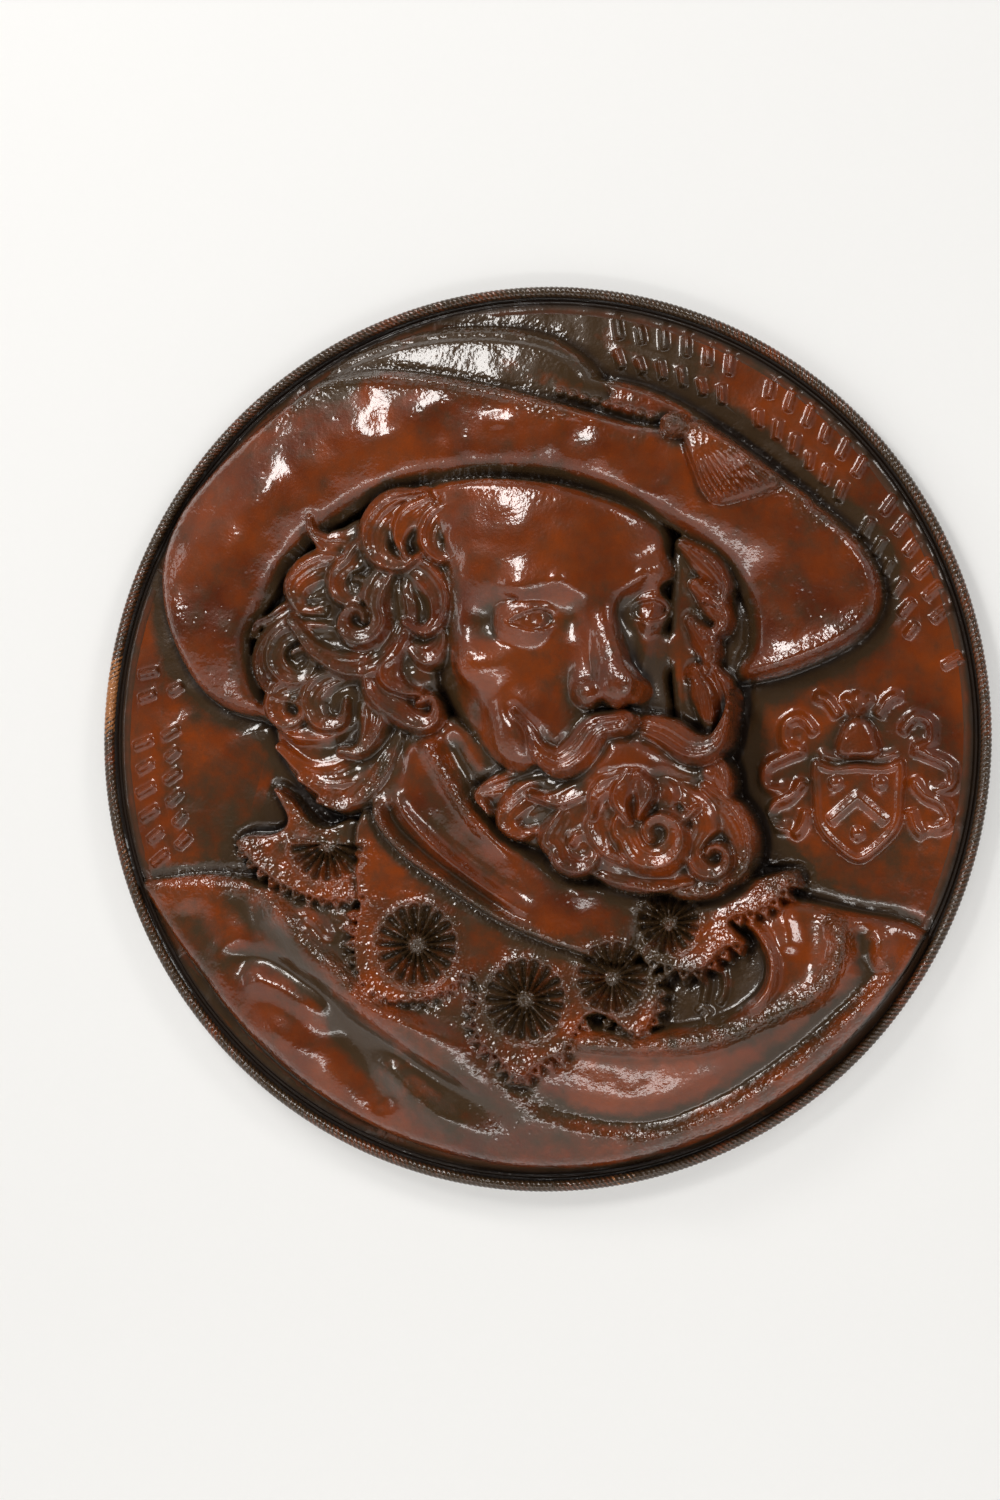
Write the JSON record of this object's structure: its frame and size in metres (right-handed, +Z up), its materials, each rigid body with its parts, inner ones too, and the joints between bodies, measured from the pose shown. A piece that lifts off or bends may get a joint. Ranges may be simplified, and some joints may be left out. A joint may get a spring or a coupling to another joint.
{
  "type": "relief roundel",
  "caption": "Round wall plaque of patinated copper with a high relief portrait bust in a broad hat, a rolled roped rim and a hollow back.",
  "frame": {"origin": "on the flat ring at the back of the rim, straight above the plaque's centre, where the plaque rests on the wall", "axes": "+X to the viewer's right, +Y back into the wall, +Z up; the relief faces -Y"},
  "size_m": [0.5501, 0.0722, 0.5498],
  "materials": {
    "patinated_copper": "red-brown patinated copper, glossy, dark in the hollows and worn on the rim"
  },
  "bodies": {
    "root": {"relief_roundel": "patinated_copper"}
  },
  "joints": []
}
